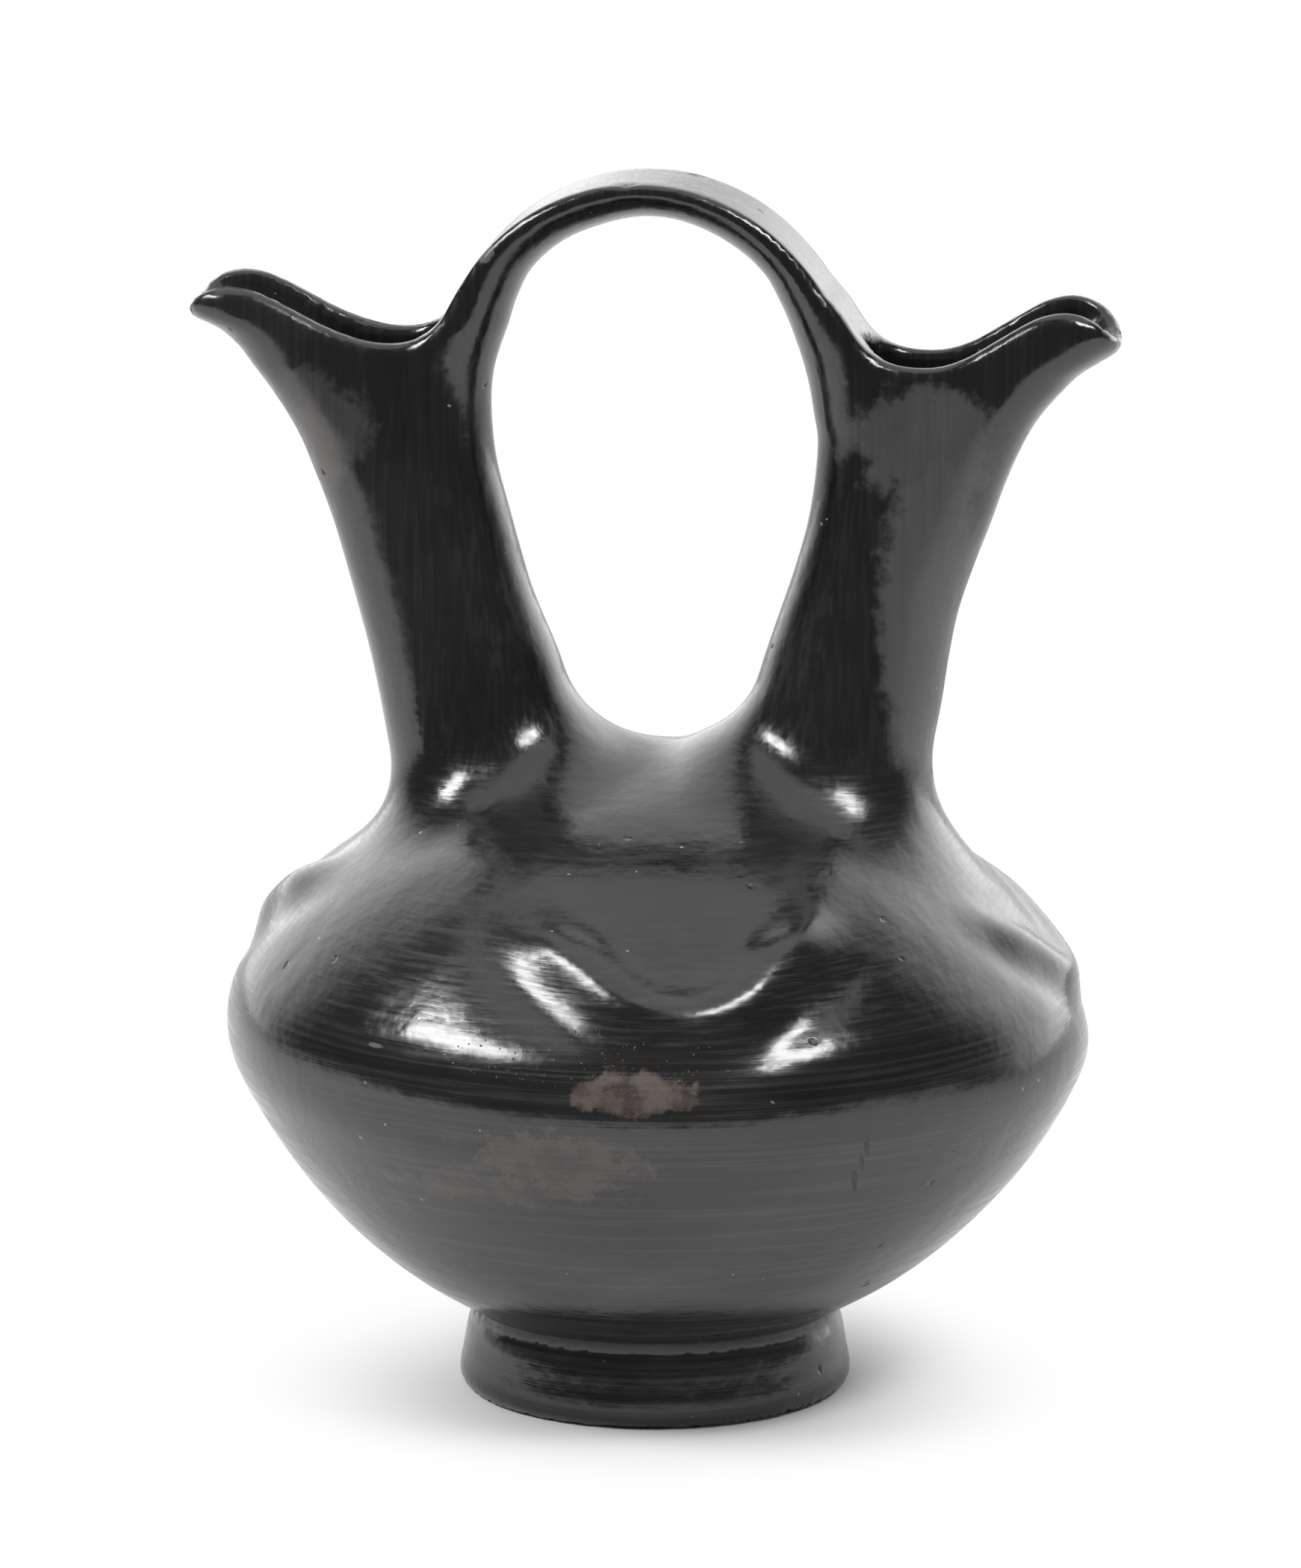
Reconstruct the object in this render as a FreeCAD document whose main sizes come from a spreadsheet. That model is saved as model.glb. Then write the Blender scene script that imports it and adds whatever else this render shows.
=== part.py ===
import FreeCAD, Part
import Sketcher
import math
import os
import re

# Wedding vase: one hand-built, burnished and fired clay piece. A squat round body on a flared foot
# carries two leaning necks. Each neck opens into a pinched pouring spout, and a strap handle rises
# from the inner rim of one mouth and comes down in the inner rim of the other. Four soft U-shaped
# swags stand on the shoulder. Millimetres and degrees, +Z up, origin in the middle of the foot's
# contact ring, the necks along X, the front towards -Y.

NODE = "wedding_vase"

SIZES = [
    # the foot ring
    ("foot_contact_radius", 49.5, "outer radius of the ring that touches the table"),
    ("foot_edge_radius", 52.6, "widest radius of the foot"),
    ("foot_edge_height", 6.0, "height of the widest line of the foot"),
    ("foot_ridge_radius", 50.6, "radius of the ridge above the foot"),
    ("foot_ridge_height", 18.8, "height of that ridge"),
    ("waist_radius", 48.6, "smallest radius, between foot and belly"),
    ("waist_height", 22.3, "height of the waist"),
    ("recess_radius", 38.0, "radius of the hollow under the foot"),
    ("recess_depth", 4.0, "depth of that hollow"),
    ("recess_draft", 1.2, "how much wider that hollow is at the table"),
    ("foot_softening", 1.8, "radius worn on the foot's edges"),
    # the body
    ("belly_foot_radius", 62.4, "radius where the belly leaves the waist"),
    ("belly_foot_height", 30.6, "height where the belly leaves the waist"),
    ("body_radius", 116.2, "greatest radius of the body"),
    ("equator_height", 100.5, "height of the greatest radius"),
    ("equator_curve", 30.0, "profile radius round the equator"),
    ("belly_turn", 26.0, "angle below the equator where the belly's long curve begins"),
    ("dome_rise", 73.5, "top of the shoulder dome above the equator"),
    ("body_wall", 5.5, "wall of the body"),
    ("floor_thickness", 8.0, "clay between the hollow foot and the inside"),
    ("floor_radius", 28.0, "flat part of the inside floor"),
    # the necks below the joint where they begin to open
    ("neck_spacing", 58.0, "neck axis from the middle, at the joint"),
    ("left_neck_spacing", 56.2, "the same for the left neck"),
    ("neck_tilt", 15.0, "lean of the right neck, outward"),
    ("left_neck_tilt", 16.0, "lean of the left neck, outward"),
    ("neck_radius", 20.9, "half width of a neck, front to back, at the joint"),
    ("neck_flat", 3.6, "how much wider a neck is from side to side"),
    ("neck_taper", 6.5, "taper of a neck below the joint"),
    ("neck_depth", 66.0, "how far a neck runs down into the body"),
    ("joint_rise", 40.0, "joint above the top of the dome"),
    ("neck_root_curve", 23.0, "fillet where a neck grows out of the shoulder"),
    ("neck_wall", 4.8, "wall of a neck"),
    # stations up a neck: rise from the station below, setback of the loop face from the neck axis
    # at the joint, tilt, two rounded ends, the straight flank between them and the half width
    ("hip_rise", 18.0, "neck's narrow hip above the joint"),
    ("hip_setback", 18.6, "loop face of the hip, inward of the axis"),
    ("hip_tilt", 8.0, "fall of the hip section, outward"),
    ("hip_inner", 21.0, "inner rounded end of the hip"),
    ("hip_flank", 4.0, "straight flank of the hip"),
    ("hip_outer", 21.0, "outer rounded end of the hip"),
    ("hip_half", 20.4, "half width of the hip"),
    ("throat_rise", 22.0, "throat above the hip"),
    ("throat_setback", 14.9, "loop face of the right throat"),
    ("left_throat_setback", 13.5, "loop face of the left throat"),
    ("throat_tilt", 2.0, "fall of the throat section, outward"),
    ("throat_inner", 22.0, "inner rounded end of the throat"),
    ("throat_flank", 8.6, "straight flank of the right throat"),
    ("left_throat_flank", 6.8, "straight flank of the left throat"),
    ("throat_outer", 21.0, "outer rounded end of the throat"),
    ("throat_half", 19.4, "half width of the throat"),
    ("lip_rise", 22.0, "lip above the throat"),
    ("lip_setback", 17.1, "loop face at the right lip"),
    ("left_lip_setback", 13.9, "loop face at the left lip"),
    ("lip_tilt", 1.5, "rise of the right lip section, outward"),
    ("left_lip_tilt", 3.0, "rise of the left lip section, outward"),
    ("lip_inner", 19.0, "inner rounded end of the lip"),
    ("lip_flank", 36.6, "straight flank of the right lip"),
    ("left_lip_flank", 30.2, "straight flank of the left lip"),
    ("lip_outer", 18.5, "outer rounded end of the lip"),
    ("lip_half", 17.4, "half width of the lip"),
    ("root_rise", 25.0, "plane of the strap root above the lip"),
    ("root_setback", 25.3, "loop face at the strap root"),
    ("root_inner", 15.5, "inner rounded end of the strap root"),
    ("root_half", 17.5, "half width of the strap root"),
    ("spout_flank", 104.0, "straight flank of the open spout in that plane"),
    ("spout_outer", 20.0, "outer rounded end of the open spout in that plane"),
    # the strap: rise from the station below, setback of the loop face, tilt and rounded underside
    ("bend_rise", 10.2, "strap bend above the root plane"),
    ("bend_setback", 37.2, "loop face of the bend, inward of the neck axis"),
    ("bend_tilt", 26.0, "tilt of the strap section at the bend"),
    ("bend_inner", 12.5, "rounded underside at the bend"),
    ("haunch_rise", 4.8, "strap haunch above the bend"),
    ("haunch_setback", 49.3, "loop face of the haunch, inward of the neck axis"),
    ("haunch_tilt", 62.0, "tilt of the strap section at the haunch"),
    ("haunch_inner", 10.8, "rounded underside at the haunch"),
    ("crown_rise", 1.0, "underside of the crown above the haunch"),
    ("crown_inner", 10.3, "rounded underside at the crown"),
    ("strap_half", 18.0, "half width of the strap"),
    ("strap_thickness", 10.5, "clay at the crown"),
    ("strap_shift", 2.5, "middle of the strap, to the left"),
    ("strap_flank", 7.0, "straight flank of the strap before its outer face is cut"),
    ("strap_outer", 8.0, "outer rounded end of the strap before its outer face is cut"),
    # the rim line, seen from the front
    ("rim_rise", 5.0, "low point of the right rim above the lip station"),
    ("saddle_reach", 7.3, "inner end of the right rim's low stretch, outward of the neck axis"),
    ("left_saddle_reach", 9.8, "the same for the left rim"),
    ("saddle_flat", 8.0, "level stretch of a rim between its low curves"),
    ("saddle_curve", 11.0, "radius of the rim's low curves"),
    ("saddle_gap", 9.5, "how much smaller the strap's arc is than the reach of the nearer low stretch"),
    ("crest_reach", 49.8, "high point of the right rim, outward of the neck axis"),
    ("left_crest_reach", 53.8, "high point of the left rim, outward of the neck axis"),
    ("crest_rise", 14.8, "high point of a rim above its low point"),
    ("crest_curve", 18.0, "radius of the rim's high curve"),
    ("left_raise", 3.0, "how much higher the left rim lies"),
    ("tip_drop", 10.5, "end of the rim line below its high point"),
    ("tip_slant", 2.0, "how far the blunt end of a spout leans out below the rim line"),
    # the mouths inside
    ("strap_root_wall", 10.0, "clay between the loop and the mouth at the lip"),
    ("mouth_setback", 31.5, "clay between the loop and the mouth in the root plane"),
    ("mouth_end", 14.0, "inner rounded end of the mouth"),
    # the four swags on the shoulder
    ("front_swag_angle", 10.0, "bearing of the front swag from -Y towards +X"),
    ("right_swag_angle", 94.0, "bearing of the right swag"),
    ("back_swag_angle", 177.0, "bearing of the back swag"),
    ("left_swag_angle", 258.0, "bearing of the left swag"),
    ("front_swag_margin", 7.0, "front swag's lowest line up from the edge of the dome, along it"),
    ("right_swag_margin", -3.6, "the same for the right swag, which hangs lower"),
    ("back_swag_margin", 6.0, "the same for the back swag"),
    ("left_swag_margin", 10.6, "the same for the left swag"),
    ("swag_ring", 34.5, "radius of the ring along which a swag lies"),
    ("swag_span_angle", 125.0, "turn from the bottom of the U to where the roll has sunk in the shoulder"),
    ("swag_section", 20.0, "profile radius of the raised roll"),
    ("swag_height", 3.4, "how far the roll stands out at the bottom of the U"),
    ("right_swag_height", 2.0, "the same for the right swag, which is slighter"),
    ("groove_section", 8.0, "profile radius of the groove below the roll"),
    ("groove_offset", 13.5, "the groove's middle from the roll's middle"),
    ("groove_depth", 1.3, "depth of the groove at the bottom of the U"),
    ("groove_span_angle", 84.0, "turn from the bottom of the U to where the groove runs out"),
]

doc = FreeCAD.newDocument("WeddingVase")
sheet = doc.addObject("Spreadsheet::Sheet", "Sizes")
for row, (alias, size, note) in enumerate(SIZES, start=1):
    sheet.set(f"A{row}", note)
    sheet.set(f"B{row}", str(size))
    sheet.setAlias(f"B{row}", alias)
doc.recompute()

body = doc.addObject("PartDesign::Body", NODE)
body.Label = NODE


def cells(formula):
    """A formula in size names, as the sheet's cells."""
    return re.sub(r"(?<![.\w])[a-z]+_[a-z_]+", r"Sizes.\g<0>", formula)


def number(formula):
    """The present value of a formula in size names."""
    value = sheet.evalExpression(cells(formula))
    return float(getattr(value, "Value", value))


def new_sketch(name, plane, x="0", y="0", z="0", axis=(0, -1, 0), angle="0"):
    """A sketch on one of the body's origin planes, moved and turned by formulas."""
    sketch = body.newObject("Sketcher::SketchObject", name)
    support = [feature for feature in body.Origin.OriginFeatures if feature.Role == plane]
    sketch.AttachmentSupport = [(support[0], "")]
    sketch.MapMode = "FlatFace"
    turn = FreeCAD.Rotation(FreeCAD.Vector(*axis), number(angle))
    sketch.AttachmentOffset = FreeCAD.Placement(FreeCAD.Vector(number(x), number(y), number(z)), turn)
    for name, formula in (("Base.x", x), ("Base.y", y), ("Base.z", z), ("Rotation.Angle", angle)):
        if formula != "0":
            sketch.setExpression(f".AttachmentOffset.{name}", cells(formula))
    return sketch


class Outline:
    """A closed chain of lines and curves in a sketch. A point given as two formulas is held there,
    and a point given as two numbers is only where the curve starts before tangency settles it."""

    def __init__(self, sketch):
        self.sketch = sketch
        self.pieces = []

    def spot(self, point):
        x, y = (number(part) if isinstance(part, str) else part for part in point)
        return FreeCAD.Vector(x, y, 0)

    def bind(self, kind, elements, formula):
        """Add a dimension that follows a formula."""
        index = self.sketch.addConstraint(Sketcher.Constraint(kind, *elements, number(formula)))
        self.sketch.setExpression(f"Constraints[{index}]", cells(formula))

    def hold(self, element, vertex, point):
        """Hold a vertex at a point given as two formulas."""
        for kind, formula, axis in (("DistanceX", point[0], -2), ("DistanceY", point[1], -1)):
            if formula == "0":
                self.sketch.addConstraint(Sketcher.Constraint("PointOnObject", element, vertex, axis))
            else:
                self.bind(kind, (-1, 1, element, vertex), formula)

    def line(self, start, end):
        """A straight piece; its start is held if it is given as formulas."""
        element = self.sketch.addGeometry(Part.LineSegment(self.spot(start), self.spot(end)), False)
        self.pieces.append((element, 1, 2, start))
        return element

    def arc(self, center, start, end, left_turn):
        """An arc from start to end, turning left or right."""
        middle, first, last = self.spot(center), self.spot(start), self.spot(end)
        ends = [math.atan2(tip.y - middle.y, tip.x - middle.x) for tip in (first, last)]
        if not left_turn:
            ends.reverse()
        if ends[1] < ends[0]:
            ends[1] += 2 * math.pi
        circle = Part.Circle(middle, FreeCAD.Vector(0, 0, 1), (first - middle).Length)
        element = self.sketch.addGeometry(Part.ArcOfCircle(circle, *ends), False)
        first_vertex, last_vertex = (1, 2) if left_turn else (2, 1)
        self.pieces.append((element, first_vertex, last_vertex, start))
        return element

    def end(self, center, reach, half, side):
        """Half an ellipse about a centre on the X axis: inner end with side -1, outer with side 1."""
        middle = self.spot((center, "0"))
        across = FreeCAD.Vector(0, number(half), 0)
        along = FreeCAD.Vector(number(reach), 0, 0)
        start = (center, half) if side < 0 else (center, "-" + half)
        if abs(along.x) == across.y:
            left_end = (center, "-" + half) if side < 0 else (center, half)
            element = self.arc((center, "0"), start, left_end, True)
            self.bind("DistanceX", (-1, 1, element, 3), center)
            return element
        lengthwise = along.Length > across.Length
        tips = (middle + along, middle + across) if lengthwise else (middle + across, middle - along)
        ellipse = Part.Ellipse(*tips, middle)
        first = ellipse.parameter(middle - across * side)
        element = self.sketch.addGeometry(Part.ArcOfEllipse(ellipse, first, first + math.pi), False)
        self.pieces.append((element, 1, 2, start))
        major = self.sketch.GeometryCount
        self.sketch.exposeInternalGeometry(element)
        self.sketch.addConstraint(Sketcher.Constraint("Horizontal" if lengthwise else "Vertical", major))
        self.bind("Distance", (major if lengthwise else major + 1,), f"2 * {reach}")
        self.bind("DistanceX", (-1, 1, element, 3), center)
        return element

    def close(self, smooth=()):
        """Join the pieces end to end; a joint before a piece named in smooth is tangent."""
        following = self.pieces[1:] + self.pieces[:1]
        for (element, _, last, _), (after, first, _, start) in zip(self.pieces, following):
            kind = "Tangent" if after in smooth else "Coincident"
            self.sketch.addConstraint(Sketcher.Constraint(kind, element, last, after, first))
            if isinstance(start[0], str):
                self.hold(after, first, start)


def check(label):
    doc.recompute()
    for item in doc.Objects:
        if "Invalid" in item.State or "Error" in item.State:
            raise RuntimeError(f"{label}: {item.Name} is {item.State}")


# the round body, turned about the upright axis
body_top = "(equator_height + dome_rise)"
equator_center = "(body_radius - equator_curve)"
dome_radius = (
    f"(({equator_center} ^ 2 + dome_rise ^ 2 - equator_curve ^ 2) / (2 * (dome_rise - equator_curve)))"
)
dome_center = f"({body_top} - {dome_radius})"


def curve_points(inset, foot):
    """Where the belly, equator and dome curves meet, and the belly's centre, for a wall's inset."""
    turn = math.radians(number("belly_turn"))
    middle = FreeCAD.Vector(number(equator_center), number("equator_height"), 0)
    radius = number("equator_curve") - inset
    inward = FreeCAD.Vector(-math.cos(turn), math.sin(turn), 0)
    start = middle - inward * radius
    chord = foot - start
    belly_radius = chord.dot(chord) / (2 * inward.dot(chord))
    dome = FreeCAD.Vector(0, number(dome_center), 0)
    end = middle + (middle - dome).normalize() * radius
    return start, start + inward * belly_radius, end


turned = new_sketch("TurnedProfile", "YZ_Plane")
profile = Outline(turned)
foot = FreeCAD.Vector(number("belly_foot_radius"), number("belly_foot_height"), 0)
belly_end, belly_center, dome_start = curve_points(0, foot)
profile.line(("0", "recess_depth"), ("recess_radius", "recess_depth"))
profile.line(("recess_radius", "recess_depth"), ("recess_radius + recess_draft", "0"))
profile.line(("recess_radius + recess_draft", "0"), ("foot_contact_radius", "0"))
profile.line(("foot_contact_radius", "0"), ("foot_edge_radius", "foot_edge_height"))
profile.line(("foot_edge_radius", "foot_edge_height"), ("foot_ridge_radius", "foot_ridge_height"))
profile.line(("foot_ridge_radius", "foot_ridge_height"), ("waist_radius", "waist_height"))
profile.line(("waist_radius", "waist_height"), ("belly_foot_radius", "belly_foot_height"))
belly = profile.arc(
    (belly_center.x, belly_center.y),
    ("belly_foot_radius", "belly_foot_height"),
    (belly_end.x, belly_end.y),
    True,
)
equator = profile.arc(
    (equator_center, "equator_height"), (belly_end.x, belly_end.y), (dome_start.x, dome_start.y), True
)
dome = profile.arc(("0", dome_center), (dome_start.x, dome_start.y), ("0", body_top), True)
profile.line(("0", body_top), ("0", "recess_depth"))
profile.close(smooth=(equator, dome))
profile.hold(equator, 3, (equator_center, "equator_height"))
profile.bind("Radius", (equator,), "equator_curve")
profile.bind("DistanceY", (-1, 1, equator, 1), "equator_height - equator_curve * sin(belly_turn)")
turned.addConstraint(Sketcher.Constraint("PointOnObject", dome, 3, -2))
belly_size = turned.addConstraint(Sketcher.Constraint("Radius", belly, (belly_center - belly_end).Length))
turned.setDriving(belly_size, False)
turned.renameConstraint(belly_size, "belly_radius")

vessel = body.newObject("PartDesign::Revolution", "Vessel")
vessel.Profile = turned
vessel.ReferenceAxis = (turned, ["V_Axis"])
vessel.Angle = 360
check("vessel")


def section(name, x, z, angle, start, inner, flank, outer, half):
    """A section across a neck or the strap: two rounded ends joined by straight flanks. It lies in
    a plane through Y, turned up by an angle from +X, and starts at a place along that direction."""
    sketch = new_sketch(name, "XY_Plane", x=x, z=z, angle=angle)
    outline = Outline(sketch)
    near = f"({start} + {inner})"
    far = f"({start} + {inner} + {flank})"
    outline.end(near, inner, half, -1)
    outline.line((near, "-" + half), (far, "-" + half))
    outline.end(far, outer, half, 1)
    outline.line((far, half), (near, half))
    outline.close()
    return sketch


def loft(name, kind, sections, ruled=False):
    feature = body.newObject(f"PartDesign::{kind}Loft", name)
    feature.Profile = sections[0]
    feature.Sections = sections[1:]
    feature.Ruled = ruled
    check(name)
    return feature


# two leaning necks, a little wider from side to side, that run down into the body
joint_height = f"({body_top} + joint_rise)"
joint_start = "(0 - neck_radius - neck_flat / 2)"
foot_reach = "(neck_radius + neck_depth * tan(neck_taper))"
foot_start = f"(0 - {foot_reach} - neck_flat / 2)"
SIDES = {
    "Right": {"sign": "", "spacing": "neck_spacing", "tilt": "neck_tilt"},
    "Left": {"sign": "-", "spacing": "left_neck_spacing", "tilt": "left_neck_tilt"},
}
joints = {}
for side, at in SIDES.items():
    turn = f"(360 - {at['tilt']})" if side == "Right" else f"(180 + {at['tilt']})"
    joints[side] = section(
        f"{side}Joint", f"{at['sign']}{at['spacing']}", joint_height, turn, joint_start,
        "neck_radius", "neck_flat", "neck_radius", "neck_radius",
    )
    depth = section(
        f"{side}NeckFoot",
        f"{at['sign']}({at['spacing']} - neck_depth * sin({at['tilt']}))",
        f"{joint_height} - neck_depth * cos({at['tilt']})",
        turn, foot_start, foot_reach, "neck_flat", foot_reach, foot_reach,
    )
    loft(f"{side}Neck", "Additive", [joints[side], depth], ruled=True)


def fillet(name, size, test):
    """Round the edges of the present solid that pass a test."""
    base = body.Tip
    edges = [f"Edge{index}" for index, edge in enumerate(base.Shape.Edges, start=1) if test(edge)]
    feature = body.newObject("PartDesign::Fillet", name)
    feature.Base = (base, edges)
    feature.setExpression("Radius", cells(size))
    check(name)


def on_dome(edge):
    """True for the lines where the necks leave the dome."""
    middle = FreeCAD.Vector(0, 0, number(dome_center))
    shoulder = number("equator_height + equator_curve")
    for share in (0, 0.3, 0.7, 1):
        spot = edge.valueAt(edge.FirstParameter + share * (edge.LastParameter - edge.FirstParameter))
        if abs((spot - middle).Length - number(dome_radius)) > 0.001:
            return False
        if abs(spot.x) < 1 or spot.z < shoulder:
            return False
    return True


fillet("NeckRoots", "neck_root_curve", on_dome)

# the swags: a ring-shaped roll that sinks into the shoulder at its upper side, above a groove that
# runs out there
ring_angle = f"(asin(swag_ring / {dome_radius}) / 1 deg)"
dome_edge = f"(asin({equator_center} / ({dome_radius} - equator_curve)) / 1 deg)"


def ring(name, side, kind, height, offset, section_radius, span, sink):
    """Turn a circle about an axis through the shoulder, tilted so that the ring runs out."""
    bearing = f"{side}_swag_angle"
    pole = f"({dome_edge} - {side}_swag_margin / {dome_radius} * 180 / pi - {ring_angle})"
    sketch = new_sketch(name + "Profile", "XZ_Plane", y=dome_center, axis=(0, 1, 0), angle=f"({bearing} + 270)")
    outline = Outline(sketch)
    reach = f"({dome_radius} + {height})"
    polar = f"({pole} + {ring_angle} + {offset} / {dome_radius} * 180 / pi)"
    spot = (f"{reach} * sin({polar})", f"{reach} * cos({polar})")
    radius = f"({reach} * sin({polar} - {pole}))"
    lean = f"({pole} + asin({sink} / ({radius} * (1 - cos({span})))) / 1 deg)"
    middle = (f"({spot[0]} - {radius} * cos({lean}))", f"({spot[1]} + {radius} * sin({lean}))")
    ahead = (f"({middle[0]} + swag_ring * sin({lean}))", f"({middle[1]} + swag_ring * cos({lean}))")
    circle = Part.Circle(outline.spot(spot), FreeCAD.Vector(0, 0, 1), number(section_radius))
    around = sketch.addGeometry(circle, False)
    outline.hold(around, 3, spot)
    outline.bind("Radius", (around,), section_radius)
    axle = sketch.addGeometry(Part.LineSegment(outline.spot(middle), outline.spot(ahead)), True)
    outline.hold(axle, 1, middle)
    outline.hold(axle, 2, ahead)
    feature = body.newObject(f"PartDesign::{kind}", name)
    feature.Profile = sketch
    feature.ReferenceAxis = (sketch, ["Axis0"])
    if kind == "Groove":
        feature.Midplane = True
        feature.setExpression("Angle", cells(f"2 * {span}"))
    else:
        feature.Angle = 360
    check(name)


for side in ("front", "right", "back", "left"):
    height = "right_swag_height" if side == "right" else "swag_height"
    ring(
        f"{side.capitalize()}Swag", side, "Revolution", f"{height} - swag_section", "0", "swag_section",
        "swag_span_angle", f"(0 - {height})",
    )
    ring(
        f"{side.capitalize()}Groove", side, "Groove", "groove_section - groove_depth", "groove_offset",
        "groove_section", "groove_span_angle", "groove_depth",
    )

# each neck opens from the joint into its spout; the strap runs from root plane to root plane
hip_height = f"({joint_height} + hip_rise)"
throat_height = f"({hip_height} + throat_rise)"
lip_height = f"({throat_height} + lip_rise)"
root_height = f"({lip_height} + root_rise)"
bend_height = f"({root_height} + bend_rise)"
haunch_height = f"({bend_height} + haunch_rise)"
crown_height = f"({haunch_height} + crown_rise)"


def stations(side):
    """Setback of the loop face, height, tilt and section of each station above a neck's joint."""
    left = "left_" if side == "Left" else ""
    return {
        "Hip": ("hip_setback", hip_height, "(0 - hip_tilt)", "hip_inner", "hip_flank", "hip_outer", "hip_half"),
        "Throat": (
            left + "throat_setback", throat_height, "(0 - throat_tilt)",
            "throat_inner", left + "throat_flank", "throat_outer", "throat_half",
        ),
        "Lip": (
            left + "lip_setback", lip_height, left + "lip_tilt",
            "lip_inner", left + "lip_flank", "lip_outer", "lip_half",
        ),
        "Root": ("root_setback", root_height, "0", "root_inner", "spout_flank", "spout_outer", "root_half"),
    }


def station(side, name, setback, height, tilt, start, inner, flank, outer, half):
    """A section whose loop face is set back from the neck's axis at the joint."""
    shift = " - strap_shift" if height not in (hip_height, throat_height, lip_height) else ""
    x = f"{SIDES[side]['sign']}({SIDES[side]['spacing']} - {setback}){shift}"
    angle = f"(360 + {tilt})" if side == "Right" else f"(180 - {tilt})"
    return section(side + name, x, height, angle, start, inner, flank, outer, half)


for side in SIDES:
    opening = [
        station(side, name, setback, height, tilt, "0", *sizes)
        for name, (setback, height, tilt, *sizes) in stations(side).items()
    ]
    loft(f"{side}Spout", "Additive", [joints[side]] + opening)

strap_end = ("strap_flank", "strap_outer")
limbs = {}
for side in SIDES:
    limbs[side] = [
        station(
            side, "StrapRoot", "root_setback", root_height, "0", "0", "root_inner", *strap_end, "root_half"
        ),
        station(
            side, "Bend", "bend_setback", bend_height, "bend_tilt", "0", "bend_inner", *strap_end, "strap_half"
        ),
        station(
            side, "Haunch", "haunch_setback", haunch_height, "haunch_tilt", "0",
            "haunch_inner", *strap_end, "strap_half",
        ),
    ]
crown = section("Crown", "(0 - strap_shift)", crown_height, "90", "0", "crown_inner", *strap_end, "strap_half")
loft("Strap", "Additive", limbs["Right"] + [crown] + limbs["Left"][::-1])


def touch(first, radius, second, other, turn):
    """Where a straight line leaves one circle and meets the next, which turns the other way."""
    gap = second - first
    slope = math.atan2(gap.y, gap.x) - turn * math.asin((radius + other) / gap.Length)
    out = FreeCAD.Vector(-turn * math.sin(slope), turn * math.cos(slope), 0)
    return first + out * radius, second - out * other


# one cut from front to back shapes the strap's outer arc and both rims: low saddle, high crest, tip
rim_low = f"({lip_height} + rim_rise)"
right_reach = "(neck_spacing + saddle_reach)"
left_reach = "(left_neck_spacing + left_saddle_reach)"
right_crest = "(neck_spacing + crest_reach)"
left_crest = "(left_neck_spacing + left_crest_reach)"
crown_radius = f"(min({right_reach} + strap_shift; {left_reach} - strap_shift) - saddle_gap)"
crown_center = ("(0 - strap_shift)", f"({crown_height} + strap_thickness - {crown_radius})")
rim = new_sketch("RimLine", "XZ_Plane")
trim = Outline(rim)
middle = trim.spot(crown_center)


def xy(vector):
    return (vector.x, vector.y)


def rim_side(side):
    """Arcs of one side of the rim line, from the strap outward, with first and last points."""
    sign = SIDES[side]["sign"]
    way = 1 if side == "Right" else -1
    reach = right_reach if side == "Right" else left_reach
    crest_x = right_crest if side == "Right" else left_crest
    low = rim_low if side == "Right" else f"({rim_low} + left_raise)"
    inner = (f"{sign}{reach}", f"({low} + saddle_curve)")
    outer = (f"{sign}({reach} + saddle_flat)", f"({low} + saddle_curve)")
    crest = (f"{sign}{crest_x}", f"({low} + crest_rise - crest_curve)")
    curve, top = number("saddle_curve"), number("crest_curve")
    drop = FreeCAD.Vector(0, -curve, 0)
    root = touch(middle, number(crown_radius), trim.spot(inner), curve, way)
    climb = touch(trim.spot(outer), curve, trim.spot(crest), top, -way)
    fall = number("crest_curve - tip_drop") / top
    end = trim.spot(crest) + FreeCAD.Vector(way * math.sqrt(1 - fall * fall), fall, 0) * top
    arcs = [
        (inner, "saddle_curve", root[1], trim.spot(inner) + drop),
        (outer, "saddle_curve", trim.spot(outer) + drop, climb[0]),
        (crest, "crest_curve", climb[1], end),
    ]
    return root[0], arcs, f"({low} + crest_rise - tip_drop)"


right_root, right_arcs, right_tip = rim_side("Right")
left_root, left_arcs, left_tip = rim_side("Left")
run = [(center, radius, last, first) for center, radius, first, last in right_arcs[::-1]]
run += [(crown_center, crown_radius, right_root, left_root)]
run += left_arcs
upright = (run[0][0], crown_center, run[-1][0])
smooth = []
ends = []
for index, (center, radius, first, last) in enumerate(run):
    element = trim.arc(xy(trim.spot(center)), xy(first), xy(last), center in upright)
    trim.bind("Radius", (element,), radius)
    ends.append(element)
    if index > 0:
        smooth.append(element)
    if index + 1 < len(run):
        smooth.append(trim.line(xy(last), xy(run[index + 1][2])))
clear_right = "(neck_spacing + root_inner + spout_flank + spout_outer)"
clear_left = "(0 - left_neck_spacing - root_inner - spout_flank - spout_outer)"
stop_right = f"({right_crest} + crest_curve + tip_slant)"
stop_left = f"(0 - {left_crest} - crest_curve - tip_slant)"
clear_top = f"({crown_height} + crown_inner + strap_flank + 2 * strap_outer)"
trim.line(xy(run[-1][3]), (number(stop_left), number(throat_height)))
trim.line((stop_left, throat_height), (clear_left, throat_height))
trim.line((clear_left, throat_height), (clear_left, clear_top))
trim.line((clear_left, clear_top), (clear_right, clear_top))
trim.line((clear_right, clear_top), (clear_right, throat_height))
trim.line((clear_right, throat_height), (stop_right, throat_height))
trim.line((stop_right, throat_height), xy(run[0][2]))
trim.close(smooth)
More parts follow.
